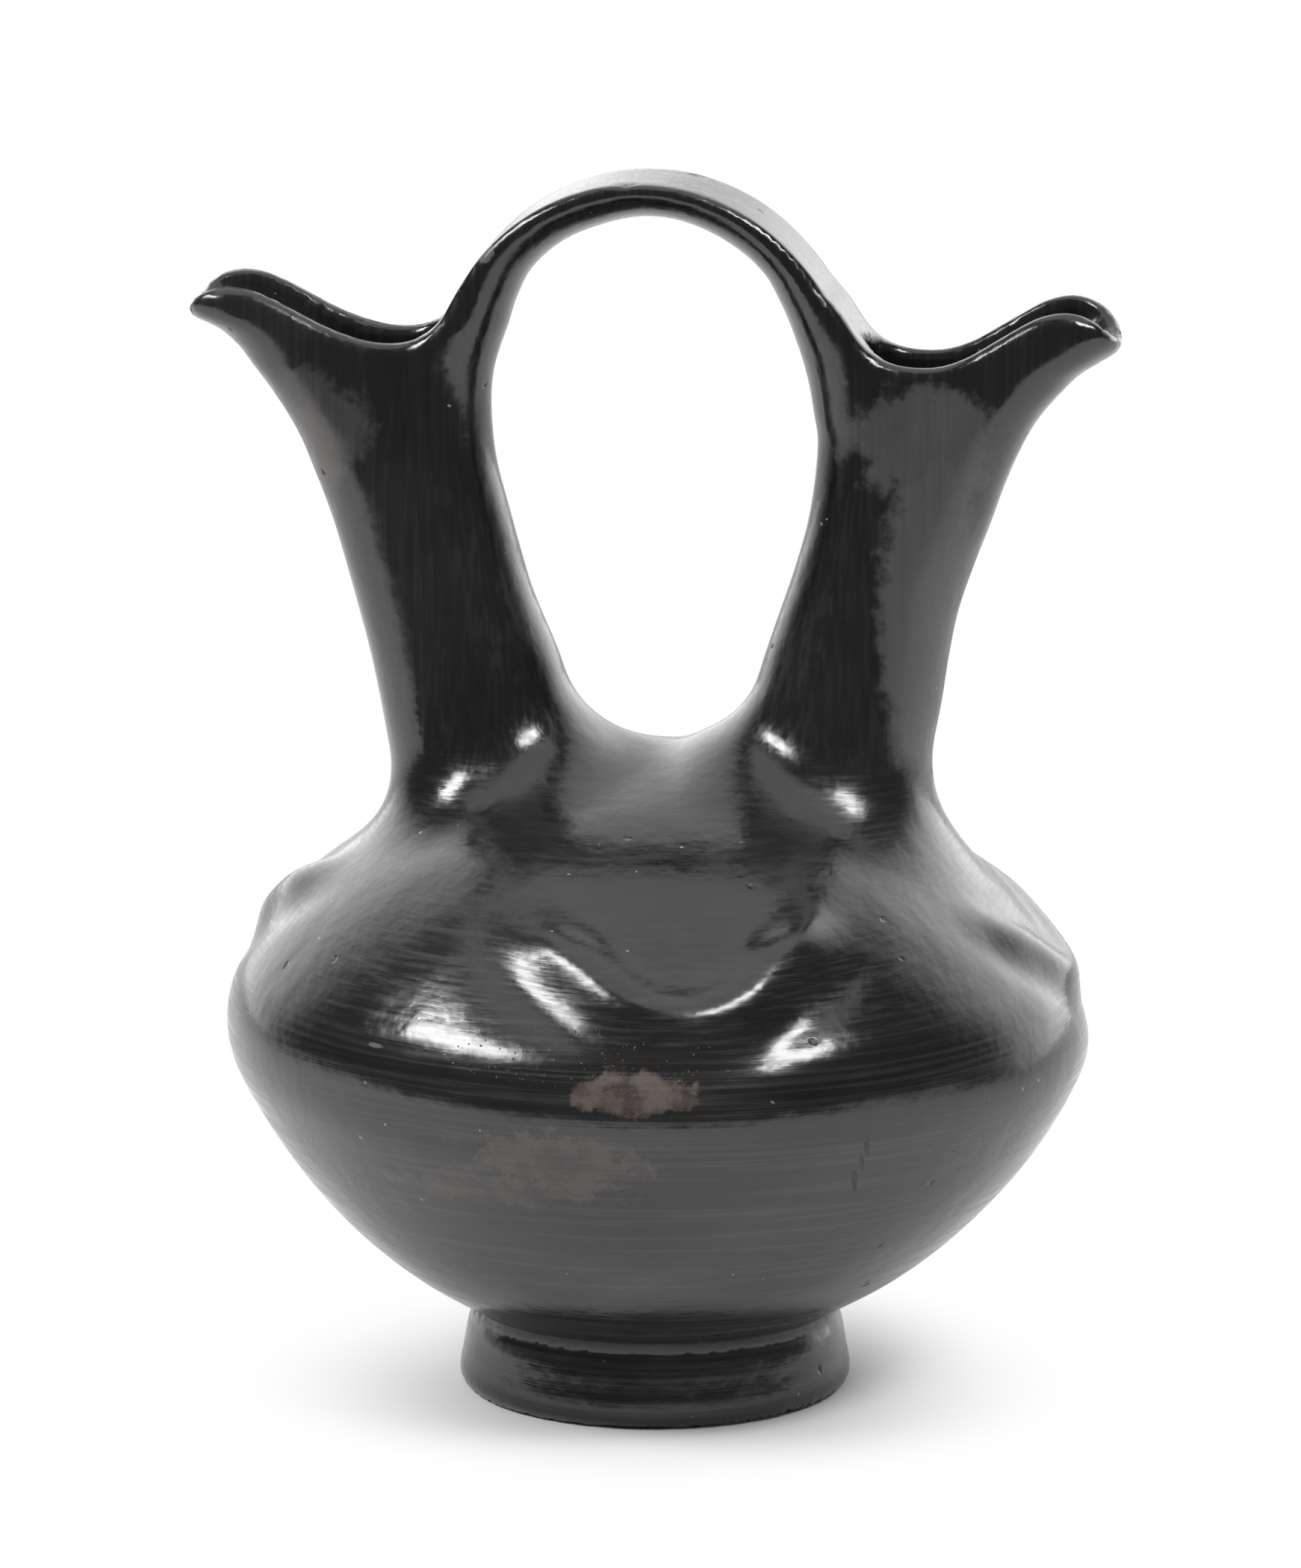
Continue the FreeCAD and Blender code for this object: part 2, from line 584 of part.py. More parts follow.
for element, (center, radius, first, last) in zip(ends, run):
    trim.hold(element, 3, center)
trim.bind("DistanceY", (-1, 1, ends[0], 1), right_tip)
trim.bind("DistanceY", (-1, 1, ends[-1], 2), left_tip)
doc.recompute()

cut = body.newObject("PartDesign::Pocket", "Rims")
cut.Profile = rim
cut.Type = 1
cut.Midplane = True
check("rims")

# the inside of the body, one wall in from the outside
hollow = new_sketch("HollowProfile", "YZ_Plane")
profile = Outline(hollow)
floor = "(recess_depth + floor_thickness)"
turn_height = "(belly_foot_height + body_wall)"
wall = number("body_wall")
inner_radius = "(TurnedProfile.Constraints.belly_radius / 1 mm - body_wall)"
inner_end, _, inner_dome = curve_points(wall, foot)
reach = (belly_center - belly_end).Length - wall
turn_spot = belly_center.x + math.sqrt(reach ** 2 - (number(turn_height) - belly_center.y) ** 2)
profile.line(("0", floor), ("floor_radius", floor))
profile.line(("floor_radius", floor), (turn_spot, number(turn_height)))
inner_belly = profile.arc(xy(belly_center), (turn_spot, number(turn_height)), xy(inner_end), True)
inner_equator = profile.arc((equator_center, "equator_height"), xy(inner_end), xy(inner_dome), True)
inner_top = f"({body_top} - body_wall)"
inner_shoulder = profile.arc(("0", dome_center), xy(inner_dome), ("0", inner_top), True)
profile.line(("0", inner_top), ("0", floor))
profile.close(smooth=(inner_equator, inner_shoulder))
profile.hold(inner_equator, 3, (equator_center, "equator_height"))
profile.bind("Radius", (inner_equator,), "equator_curve - body_wall")
profile.bind("Radius", (inner_belly,), inner_radius)
profile.bind("DistanceY", (-1, 1, inner_belly, 1), turn_height)
profile.bind("DistanceY", (-1, 1, inner_equator, 1), "equator_height - (equator_curve - body_wall) * sin(belly_turn)")
hollow.addConstraint(Sketcher.Constraint("PointOnObject", inner_shoulder, 3, -2))
doc.recompute()
inside = body.newObject("PartDesign::Groove", "Hollow")
inside.Profile = hollow
inside.ReferenceAxis = (hollow, ["V_Axis"])
inside.Angle = 360
check("hollow")

# the bores: straight in the necks, then opening with the spouts up past the rims
for side, at in SIDES.items():
    turn = f"(360 - {at['tilt']})" if side == "Right" else f"(180 + {at['tilt']})"
    joint_bore = section(
        f"{side}BoreJoint", f"{at['sign']}{at['spacing']}", joint_height, turn, f"({joint_start} + neck_wall)",
        "(neck_radius - neck_wall)", "neck_flat", "(neck_radius - neck_wall)", "(neck_radius - neck_wall)",
    )
    foot_bore = section(
        f"{side}BoreFoot",
        f"{at['sign']}({at['spacing']} - neck_depth * sin({at['tilt']}))",
        f"{joint_height} - neck_depth * cos({at['tilt']})",
        turn, f"({foot_start} + neck_wall)", f"({foot_reach} - neck_wall)", "neck_flat",
        f"({foot_reach} - neck_wall)", f"({foot_reach} - neck_wall)",
    )
    loft(f"{side}NeckBore", "Subtractive", [joint_bore, foot_bore], ruled=True)
    opening = [joint_bore]
    for name, (setback, height, tilt, inner, flank, outer, half) in stations(side).items():
        start = {"Lip": "strap_root_wall", "Root": "mouth_setback"}.get(name, "neck_wall")
        near = "mouth_end" if name in ("Lip", "Root") else f"({inner} - neck_wall)"
        opening.append(station(
            side, name + "Bore", setback, height, tilt, start, near,
            f"({inner} + {flank} - {start} - {near})", f"({outer} - neck_wall)", f"({half} - neck_wall)",
        ))
    loft(f"{side}SpoutBore", "Subtractive", opening)


def on_foot(edge):
    """True for the foot's outer corners."""
    return edge.BoundBox.ZMax < number("waist_height + 1") and edge.Length > 6 * number("foot_contact_radius")


fillet("FootSoftening", "foot_softening", on_foot)

shape = body.Shape
if shape.isNull() or not shape.isValid() or len(shape.Solids) != 1:
    raise RuntimeError("the vase is not one sound solid")
os.makedirs("parts", exist_ok=True)
shape.exportStep(f"parts/{NODE}.step")
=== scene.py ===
import math

import bmesh
import bpy
import numpy as np
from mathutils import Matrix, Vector


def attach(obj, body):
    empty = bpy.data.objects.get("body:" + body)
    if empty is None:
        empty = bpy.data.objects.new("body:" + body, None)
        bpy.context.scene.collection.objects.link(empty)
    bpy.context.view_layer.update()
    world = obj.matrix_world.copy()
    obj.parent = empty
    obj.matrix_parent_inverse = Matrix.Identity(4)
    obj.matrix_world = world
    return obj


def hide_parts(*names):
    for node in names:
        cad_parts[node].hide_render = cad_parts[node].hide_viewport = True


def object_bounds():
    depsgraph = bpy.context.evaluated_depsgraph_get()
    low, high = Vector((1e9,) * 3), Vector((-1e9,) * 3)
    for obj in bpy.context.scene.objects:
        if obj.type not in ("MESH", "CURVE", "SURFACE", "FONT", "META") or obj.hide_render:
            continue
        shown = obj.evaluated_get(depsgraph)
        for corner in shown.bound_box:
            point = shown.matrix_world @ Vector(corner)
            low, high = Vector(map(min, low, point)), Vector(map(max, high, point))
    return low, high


# Wedding vase, hand-built blackware. The fired clay is one piece: a copy of the CAD vase is given even
# faces, and its skin is then worked to the given lines, as a potter scrapes and burnishes a coiled pot.
# The lines are in millimetres, and the mesh is in metres.

MM = 0.001
SKIN = 2.3  # spacing of the even skin's corners
BATCHES = 60  # a plane's distances are worked out in this many batches, to spare memory

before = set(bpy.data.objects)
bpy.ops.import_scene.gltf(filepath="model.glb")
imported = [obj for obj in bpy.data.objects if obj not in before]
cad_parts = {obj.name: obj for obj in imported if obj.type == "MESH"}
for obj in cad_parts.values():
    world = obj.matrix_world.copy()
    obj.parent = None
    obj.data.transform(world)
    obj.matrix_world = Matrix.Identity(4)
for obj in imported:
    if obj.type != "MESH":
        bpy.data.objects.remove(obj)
cad_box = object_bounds()


# the lines that shape the vase
def smooth_line(points):
    """A smooth line through a few given (place, value) points."""
    place, value = np.array(points, float).T
    slope = np.gradient(value, place)

    def at(where):
        where = np.clip(where, place[0], place[-1])
        i = np.clip(np.searchsorted(place, where) - 1, 0, len(place) - 2)
        span = place[i + 1] - place[i]
        t = (where - place[i]) / span
        keep = (1 + 2 * t) * (1 - t) ** 2 * value[i] + t * t * (3 - 2 * t) * value[i + 1]
        return keep + span * t * (1 - t) * ((1 - t) * slope[i] - t * slope[i + 1])

    return at


def smooth_path(points, count):
    """Points along a smooth path through a few given points of the plane."""
    points = np.array(points, float)
    length = np.concatenate([[0], np.cumsum(np.linalg.norm(np.diff(points, axis=0), axis=1))])
    place = np.linspace(0, length[-1], count)
    return np.stack([smooth_line(np.stack([length, points[:, k]], 1))(place) for k in (0, 1)], 1)


def ease(where, low, high):
    """From 0 at low to 1 at high, with soft ends."""
    t = np.clip((where - low) / (high - low), 0, 1)
    return t * t * (3 - 2 * t)


def meld(a, b, reach):
    """Two bodies of clay run into each other over a reach."""
    h = np.maximum(reach - np.abs(a - b), 0) / reach
    return np.minimum(a, b) - h * h * reach / 4


def cut(a, b, reach):
    """One body of clay cut by another's outside, with the edge rounded over a reach."""
    return -meld(-a, -b, reach)


# the body's outline: dome, equator and belly arcs (middle out, middle up, radius), then the foot
DOME_CENTER = 36.84
DOME_RADIUS = 137.16
EQUATOR = (86.2, 100.5, 30.0)
BELLY = (-12.5, 148.6, 139.8)
FOOT = [
    (62.4, 30.6), (56.4, 27.0), (51.6, 24.4), (49.2, 22.4), (49.0, 20.6), (50.1, 18.4), (50.9, 15.0),
    (51.7, 10.0), (52.5, 5.6), (52.4, 2.6), (51.3, 0.8), (49.5, 0.0), (20.0, -1.0), (-8.0, -1.0),
]


def arc(x, z, radius, start, end, count):
    """Points along an arc, by its middle, radius and the bearings of its ends."""
    turn = np.radians(np.linspace(start, end, count))
    return np.stack([x + radius * np.cos(turn), z + radius * np.sin(turn)], 1)


def field(line, low, high, step=0.5):
    """Distances from a line of the plane, kept on a fine grid, with the line's left side in the clay."""
    across = np.arange(low[0], high[0] + step, step)
    up = np.arange(low[1], high[1] + step, step)
    spots = np.stack(np.meshgrid(across, up, indexing="ij"), -1).reshape(-1, 2)
    start, run = line[:-1], np.diff(line, axis=0)
    long = (run ** 2).sum(1)
    values = np.empty(len(spots))
    for part in np.array_split(np.arange(len(spots)), BATCHES):
        off = spots[part, None] - start
        t = np.clip((off * run).sum(2) / long, 0, 1)
        off = off - t[..., None] * run
        far = (off ** 2).sum(2)
        nearest = far.argmin(1)
        row = np.arange(len(part))
        first = (spots[part] - start[nearest]) * run[nearest][:, ::-1]
        values[part] = np.sqrt(far[row, nearest]) * np.where(first[:, 0] < first[:, 1], -1, 1)
    grid = values.reshape(len(across), len(up))

    def at(x, z):
        i = np.clip((x - low[0]) / step, 0, len(across) - 1.001)
        k = np.clip((z - low[1]) / step, 0, len(up) - 1.001)
        a, b = i.astype(int), k.astype(int)
        s, t = i - a, k - b
        below = grid[a, b] * (1 - s) + grid[a + 1, b] * s
        return below * (1 - t) + (grid[a, b + 1] * (1 - s) + grid[a + 1, b + 1] * s) * t

    return at


outline = np.concatenate([
    arc(0, DOME_CENTER, DOME_RADIUS, 94, 36.45, 200),
    arc(*EQUATOR, 35.6, -25.8, 80),
    arc(*BELLY, -26.4, -56.8, 120),
    smooth_path(FOOT, 160),
])
body_outline = field(outline[::-1], (-2, -4), (150, 222), 0.6)

# the four swags: bearing from the front, ring's middle down from the pole, height and width of the roll
SWAGS = [(10, 35.6, 4.0, 11.2), (94, 40.2, 2.7, 9.0), (177, 36.4, 3.8, 11.0), (258, 36.2, 3.8, 11.0)]
SWAG_RING = 34.5  # radius of the ring at its lowest place
SWAG_PINCH = 5.0  # by which both limbs draw in above that
SWAG_SPREAD = 7.0  # and by which they spread again towards their ends
SWAG_GROOVE = 0.7


def swag_relief(x, y, z):
    """How far the shoulder's U-shaped rolls stand out, and the soft groove round each."""
    way = np.stack([x, y, z - DOME_CENTER], -1)
    way /= np.linalg.norm(way, axis=-1, keepdims=True)
    total = np.zeros_like(x)
    for bearing, down, height, width in SWAGS:
        turn, tilt = math.radians(bearing), math.radians(down)
        out = np.array([math.sin(turn), -math.cos(turn), 0])
        pole = np.array([*(math.sin(tilt) * out[:2]), math.cos(tilt)])
        low = np.array([*(math.cos(tilt) * out[:2]), -math.sin(tilt)])
        side = np.cross(pole, low)
        away = np.arccos(np.clip(way @ pole, -1, 1)) * DOME_RADIUS
        limb = np.abs(np.degrees(np.arctan2(way @ side, way @ low)))
        fade = 1 - ease(limb, 62, 106)
        pinch = SWAG_PINCH * np.sin(np.radians(1.5 * np.minimum(limb, 60))) ** 2
        ring = SWAG_RING - pinch + SWAG_SPREAD * ease(limb, 40, 110)
        off = (away - ring) / width
        roll = height * np.exp(-1.9 * off ** 2)
        groove = SWAG_GROOVE * np.exp(-3.5 * (off - 1.45) ** 2) * np.minimum(1, height / 3)
        total += fade * (roll - groove)
    return total


# how far the belly leans to the right at each height
lower_sway = smooth_line([(0, 0.0), (24, 0.2), (45, 1.0), (80, 1.0), (105, 0.2), (125, 0.0), (174, 0.0)])


def body(x, y, z, inset=0.0):
    """Distance from the turned body, with the hand's swaying and flattening."""
    relief = swag_relief(x, y, z) if inset == 0 else 0
    round_x = x - lower_sway(z)
    wide = 1 + 0.012 * ease(-round_x, 20, 100) * ease(z, 30, 70) * (1 - ease(z, 105, 140))
    flat = 1.9 * ease(round_x, 60, 104) * ease(z, 92, 112) * (1 - ease(z, 138, 156))
    return body_outline(np.hypot(round_x * wide, y), z) + inset + flat - relief


# the necks in level cuts: loop side, outer side, rounded ends, half width and the mouth's inner wall
NECKS = {
    1: {
        "loop": [
            (130, 8), (156, 15.8), (172, 20.8), (188, 25.9), (200, 29.5), (212, 33.4), (224, 37.3),
            (236, 40.6), (248, 42.6), (260, 43.3), (272, 41.9), (284, 39.6), (292, 37.2), (301, 33.4),
        ],
        "outer": [
            (130, 64.8), (156, 69.9), (172, 73.1), (188, 76.3), (200, 78.2), (212, 80.6), (224, 84.4),
            (236, 88.8), (248, 93.1), (256, 96.7), (264, 101.2), (272, 107.8), (277, 112.8), (281, 119.0),
            (285, 125.6), (290, 134.0), (296, 143.0), (304, 152.0),
        ],
        "mouth": [
            (130, 14), (156, 21), (174, 26.5), (200, 34.4), (214, 39), (232, 44.8), (254, 48.8), (268, 50),
            (280, 53.0), (288, 58.0), (296, 62.5), (306, 66), (330, 74),
        ],
    },
    -1: {
        "loop": [
            (130, 3), (156, 11.0), (174, 17.2), (190, 22.8), (200, 26.2), (208, 29.6), (216, 32.8),
            (226, 35.8), (238, 39.0), (250, 42.0), (260, 43.2), (270, 43.3), (280, 42.2), (290, 40.4),
            (296, 38.8), (303, 35.6),
        ],
        "outer": [
            (130, 63.5), (156, 67.8), (172, 70.8), (188, 73.6), (200, 76.1), (212, 79.3), (224, 82.7),
            (236, 86.3), (248, 90.7), (258, 94.8), (268, 100.8), (276, 106.8), (282, 111.6), (286, 116.6),
            (290, 125.6), (295, 136.0), (304, 152.0),
        ],
        "mouth": [
            (130, 9), (156, 17), (174, 23), (200, 32), (214, 37.6), (232, 42.6), (254, 47.8), (270, 49.6),
            (283, 52.6), (292, 57.6), (300, 62), (310, 65.5), (330, 73),
        ],
    },
}
for lines in NECKS.values():
    for name in lines:
        lines[name] = smooth_line(lines[name])
neck_half = smooth_line([
    (130, 35), (158, 30), (176, 26.4), (196, 23.2), (214, 21.2), (232, 20.4), (254, 19.4), (276, 17.7),
    (304, 17.6),
])
inner_end = smooth_line([(130, 28), (174, 24), (214, 21), (254, 21.6), (276, 19), (301, 15.5)])
outer_end = smooth_line([(130, 28), (174, 24), (214, 21), (254, 21), (276, 18.6), (290, 19.6), (304, 20)])
neck_wall = smooth_line([(130, 5), (214, 4.9), (262, 4.7), (290, 4.4), (304, 4.3)])
neck_lean = smooth_line([(130, 0.25), (250, 0.36), (270, 0.8), (290, 1.7)])
MOUTH_END = 14  # length of the bore's round end beside the strap


def oval(x, y, start, end, inner, outer, half):
    """Distance from an oval with two rounded ends and straight flanks."""
    near, far = start + inner, end - outer
    u = np.where(x < near, (near - x) / inner, np.where(x > far, (x - far) / outer, 0))
    reach = np.where(x < near, inner, outer)
    v = np.abs(y) / half
    size = np.hypot(u, v) + 1e-9
    return size * (size - 1) / (np.hypot(u / reach, v / half) + 1e-9)


def neck(side, x, y, z):
    """Distance from a neck's outside; its lean makes level distances longer than true ones."""
    lines = NECKS[side]
    flare = oval(side * x, y, lines["loop"](z), lines["outer"](z), inner_end(z), outer_end(z), neck_half(z))
    slope = neck_lean(z) * ease(side * x, 50, 100)
    return flare / np.hypot(1, slope)


def bore(side, x, y, z):
    """Distance from the hollow of a neck."""
    lines = NECKS[side]
    wall = neck_wall(z)
    end = lines["outer"](z) - wall * np.hypot(1, 1.2 * ease(z, 255, 292))
    inner = inner_end(z) - wall
    inner = inner + (MOUTH_END - inner) * ease(z, 250, 276)
    return oval(side * x, y, lines["mouth"](z), end, inner, outer_end(z) - wall, neck_half(z) - wall)


# the strap handle round the top of the loop, and the line of the strap's back and both rims
STRAP = (-2.5, 273.5, 54.0)  # middle across, middle up, and radius of its back
STRAP_HALF = 18.0
STRAP_TAPER = 8.0  # by which it is narrower where it runs into the necks
STRAP_FROM = 262.0
strap_inside = smooth_line([
    (-30, 51), (-8, 47), (4, 44.2), (14, 42.4), (25, 41.8), (44, 42.6), (60, 42.8), (90, 43.3), (106, 42.5),
    (121, 42.4), (137, 41.7), (150, 40.4), (160, 39.6), (168, 40.6), (178, 43.5), (190, 47), (210, 51),
])
rim = smooth_path(
    [
        (-122.6, 244), (-123.4, 270), (-123.9, 284), (-123.5, 289.6), (-121.4, 294.4), (-118.0, 297.2),
        (-113, 298.9), (-106.7, 298.5), (-100, 296), (-93.6, 292.7), (-86.8, 289.1), (-79.2, 286.0),
        (-71, 284.2), (-63.6, 284.7), (-58.2, 287.2), (-54.4, 291.2), (-51.9, 295.6), (-49.6, 300),
        (-43.6, 308.6), (-33.7, 317.6), (-22, 323.8), (-10, 327.0), (-2.5, 327.4), (6, 326.8),
        (18, 323.4), (28.6, 317.7), (38.2, 309.3), (43.0, 303.9),
        (46.3, 299.6), (49.3, 295.6), (52.0, 291.6), (54.5, 287.6), (57.2, 284.5), (60.6, 282.2), (65, 280.6),
        (70, 280), (76.1, 280.4), (82.5, 282.6), (89.5, 286.7), (95.7, 290.5), (102.9, 294.2), (109.1, 295.4),
        (115.2, 294.0), (120.0, 290.4), (122.8, 286.0), (123.7, 281), (123.6, 268), (123.0, 240),
    ],
    420,
)
above_rim = field(rim[::-1], (-132, 238), (132, 334))


def strap(x, y, z):
    """Distance from the strap, a half oval bent round the loop."""
    dx, dz = x - STRAP[0], z - STRAP[1]
    r = np.hypot(dx, dz)
    turn = np.degrees(np.arctan2(dz, dx))
    turn = np.where(turn < -90, turn + 360, turn)
    depth = STRAP[2] - strap_inside(turn)
    half = STRAP_HALF - STRAP_TAPER * (1 - ease(z, 258, 292))
    u = np.maximum(STRAP[2] - r, 0) / depth
    v = np.abs(y) / half
    size = np.hypot(u, v) + 1e-9
    band = size * (size - 1) / (np.hypot(u / depth, v / half) + 1e-9)
    band = cut(band, r - STRAP[2] - 1.5, 3)
    return cut(band, STRAP_FROM - z, 8)


# chips knocked off the edges, as balls of air: middle and reach
CHIPS = [
    (-45.2, -19.2, 311.4, 3.4), (-6.0, -15.0, 329.6, 3.4), (10.0, 12.0, 329.0, 3.6),
    (117.0, 15.5, 297.0, 3.0),
]

# where stretches of clay and hollow begin and end, in height
BODY_WALL = 5.5
INSIDE_FLOOR = 12
NECKS_FROM = 122
BORES_FROM = 158
NECKS_TO = 297
RIM_FROM = 240


def clay(points):
    """Distance from the vase's skin, negative in the clay."""
    x, y, z = points.T
    loop_foot = 7 * (1 - ease(np.abs(x + 1), 12, 42)) + 5 * ease(x, 0, 14) * (1 - ease(x, 20, 42))
    root = 18 + loop_foot + 7 * ease(x, 42, 75)
    necks = cut(meld(neck(1, x, y, z), neck(-1, x, y, z), 9), NECKS_FROM - z, 8)
    necks = cut(necks, z - NECKS_TO - 0.9 * np.maximum(0, np.abs(x) - 50), 4)
    outside = meld(body(x, y, z), necks, root)
    outside = meld(outside, strap(x, y, z), 5)
    outside = cut(outside, np.where(z > RIM_FROM, above_rim(x, z), -40.0), 3.0)
    hollow = cut(body(x, y, z, inset=BODY_WALL), INSIDE_FLOOR - z, 8)
    bores = np.minimum(bore(1, x, y, z), bore(-1, x, y, z))
    bores = cut(bores, BORES_FROM - z, 4)
    hollow = meld(hollow, bores, 9)
    for *middle, reach in CHIPS:
        outside = cut(outside, reach - np.linalg.norm(points - middle, axis=1), 0.8)
    return cut(outside, -hollow, 2.2)


def slope_of(points, step=0.06):
    """The way out of the clay at each point, from the distances around it."""
    out = np.zeros_like(points)
    for k in range(3):
        shift = np.zeros(3)
        shift[k] = step
        out[:, k] = (clay(points + shift) - clay(points - shift)) / (2 * step)
    return out


def even_out(points, edges, normals, share):
    """Slide every point towards the middle of its neighbours, along the skin."""
    count = np.bincount(edges.ravel(), minlength=len(points))
    middle = np.zeros_like(points)
    for k in range(3):
        total = np.bincount(edges[:, 0], points[edges[:, 1], k], len(points))
        total += np.bincount(edges[:, 1], points[edges[:, 0], k], len(points))
        middle[:, k] = total / np.maximum(count, 1)
    drift = middle - points
    drift -= (drift * normals).sum(1, keepdims=True) * normals
    return points + share * drift


HAND_WAVE = 0.16


def uneven(points):
    """The slow waviness that hand scraping leaves, in millimetres."""
    x, y, z = points.T
    wave = np.sin(x / 19 + z / 31 + 0.7) * np.sin(y / 23 - z / 17 + 1.9)
    wave += 0.6 * np.sin(x / 11 - y / 13 + 2.4) * np.sin(z / 12 + x / 29 + 0.3)
    return HAND_WAVE * wave


def even_copy():
    """The CAD vase's copy with even faces."""
    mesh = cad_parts["wedding_vase"].data.copy()
    work = bmesh.new()
    work.from_mesh(mesh)
    bmesh.ops.remove_doubles(work, verts=work.verts, dist=1e-6)
    work.to_mesh(mesh)
    work.free()
    vase = bpy.data.objects.new("vase", mesh)
    bpy.context.scene.collection.objects.link(vase)
    remesh = vase.modifiers.new("EvenSkin", "REMESH")
    remesh.mode = "VOXEL"
    remesh.voxel_size = SKIN * MM
    even = bpy.data.meshes.new_from_object(vase.evaluated_get(bpy.context.evaluated_depsgraph_get()))
    vase.modifiers.clear()
    vase.data = even
    return vase


TURNS = 5
LONGEST_STEP = 1.5


def make_vase():
    """The vase's skin, from an even copy of the CAD vase, worked to the lines above."""
    vase = even_copy()
    even = vase.data
    points = np.empty(len(even.vertices) * 3)
    even.vertices.foreach_get("co", points)
    points = points.reshape(-1, 3) / MM
    edges = np.empty(len(even.edges) * 2, int)
    even.edges.foreach_get("vertices", edges)
    edges = edges.reshape(-1, 2)
    recess = (points[:, 2] < 9.0) & (np.hypot(points[:, 0], points[:, 1]) < 47)
    low = (points[:, 2] < 0.9) | recess
    kept = points[low].copy()
    for turn in range(TURNS):
        out = slope_of(points)
        size = (out ** 2).sum(1, keepdims=True)
        step = clay(points)[:, None] * out / np.maximum(size, 0.05)
        reach = np.linalg.norm(step, axis=1, keepdims=True)
        points = points - step * np.minimum(1, LONGEST_STEP / np.maximum(reach, 1e-9))
        points[low] = kept
        if turn < TURNS - 1:
            normals = out / np.sqrt(np.maximum(size, 1e-9))
            points = even_out(points, edges, normals, 0.5)
            points[low] = kept
    normals = out / np.sqrt(np.maximum(size, 1e-9))
    points = points + normals * (uneven(points) * ease(points[:, 2], 2, 12))[:, None]
    low_corner, high_corner = (np.array(corner) / MM for corner in cad_box)
    points = np.clip(points, low_corner, high_corner)
    even.vertices.foreach_set("co", (points * MM).ravel())
    even.update()
    for polygon in even.polygons:
        polygon.use_smooth = True
    even.name = "vase"
    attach(vase, "root")
    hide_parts("wedding_vase")
    return vase


# the finish
class Bench:
    """A node tree to build on: sockets are wired, and plain values are set."""

    def __init__(self, tree):
        self.tree = tree
        tree.nodes.clear()

    def node(self, kind, inputs=None, **settings):
        made = self.tree.nodes.new("ShaderNode" + kind)
        for name, value in settings.items():
            setattr(made, name, value)
        for name, value in (inputs or {}).items():
            if isinstance(value, bpy.types.NodeSocket):
                self.tree.links.new(value, made.inputs[name])
            else:
                made.inputs[name].default_value = value
        return made

    def math(self, operation, *values):
        return self.node("Math", dict(enumerate(values)), operation=operation).outputs[0]

    def noise(self, place, scale, detail=3.0, roughness=0.55):
        inputs = {"Vector": place, "Scale": scale, "Detail": detail, "Roughness": roughness}
        return self.node("TexNoise", inputs).outputs[0]

    def ramp(self, value, low, high, first=0.0, last=1.0):
        inputs = {"Value": value, "From Min": low, "From Max": high, "To Min": first, "To Max": last}
        return self.node("MapRange", inputs, interpolation_type="SMOOTHSTEP").outputs[0]

    def blend(self, share, first, last):
        inputs = {"Factor": share, 6: first, 7: last}
        return self.node("Mix", inputs, data_type="RGBA").outputs[2]

    def stretch(self, place, scale, turn=(0, 0, 0)):
        return self.node("Mapping", {"Vector": place, "Scale": scale, "Rotation": turn}).outputs[0]

    def part(self, place):
        return self.node("SeparateXYZ", {0: place}).outputs


def group(name, inputs, outputs):
    """A node group with named sockets, its bench and its two ends."""
    tree = bpy.data.node_groups.new(name, "ShaderNodeTree")
    bench = Bench(tree)
    for side, sockets in (("INPUT", inputs), ("OUTPUT", outputs)):
        for label, kind in sockets:
            tree.interface.new_socket(label, in_out=side, socket_type="NodeSocket" + kind)
    return tree, bench, tree.nodes.new("NodeGroupInput"), tree.nodes.new("NodeGroupOutput")


def burnish_strokes():
    """Marks of the polishing stone: level round the belly, slanting on the shoulder, upright on the necks."""
    tree, bench, start, end = group("burnish_strokes", [("Place", "Vector")], [("Strokes", "Float")])
    place = start.outputs["Place"]
    height = bench.part(place)[2]
    level = bench.noise(bench.stretch(place, (14, 14, 900)), 1.0, 4.0)
    slant = bench.noise(bench.stretch(place, (90, 90, 1100), (0.0, 0.5, 0.0)), 1.0, 4.0)
    upright = bench.noise(bench.stretch(place, (700, 700, 12)), 1.0, 4.0)
    shoulder = bench.ramp(height, 0.105, 0.135)
    necks = bench.ramp(height, 0.165, 0.185)
    low = bench.node("Mix", {"Factor": shoulder, 2: level, 3: slant}, data_type="FLOAT").outputs[0]
    strokes = bench.node("Mix", {"Factor": necks, 2: low, 3: upright}, data_type="FLOAT").outputs[0]
    tree.links.new(strokes, end.inputs["Strokes"])
    return tree


def ragged_patch():
    """A patch, such as a worn place, a mark or a painted sheen: full in its middle, with a ragged edge."""
    sockets = [
        ("Place", "Vector"), ("Middle", "Vector"), ("Reach", "Vector"), ("Grain", "Float"), ("Rag", "Float"),
    ]
    tree, bench, start, end = group("ragged_patch", sockets, [("Mask", "Float")])
    take = start.outputs
    off = bench.node("VectorMath", {0: take["Place"], 1: take["Middle"]}, operation="SUBTRACT").outputs[0]
    off = bench.node("VectorMath", {0: off, 1: take["Reach"]}, operation="DIVIDE").outputs[0]
    far = bench.node("VectorMath", {0: off}, operation="LENGTH").outputs["Value"]
    rag = bench.math("SUBTRACT", bench.noise(take["Place"], take["Grain"], 6.0, 0.65), 0.5)
    far = bench.math("ADD", far, bench.math("MULTIPLY", rag, take["Rag"]))
    tree.links.new(bench.ramp(far, 0.75, 1.05, 1.0, 0.0), end.inputs["Mask"])
    return tree


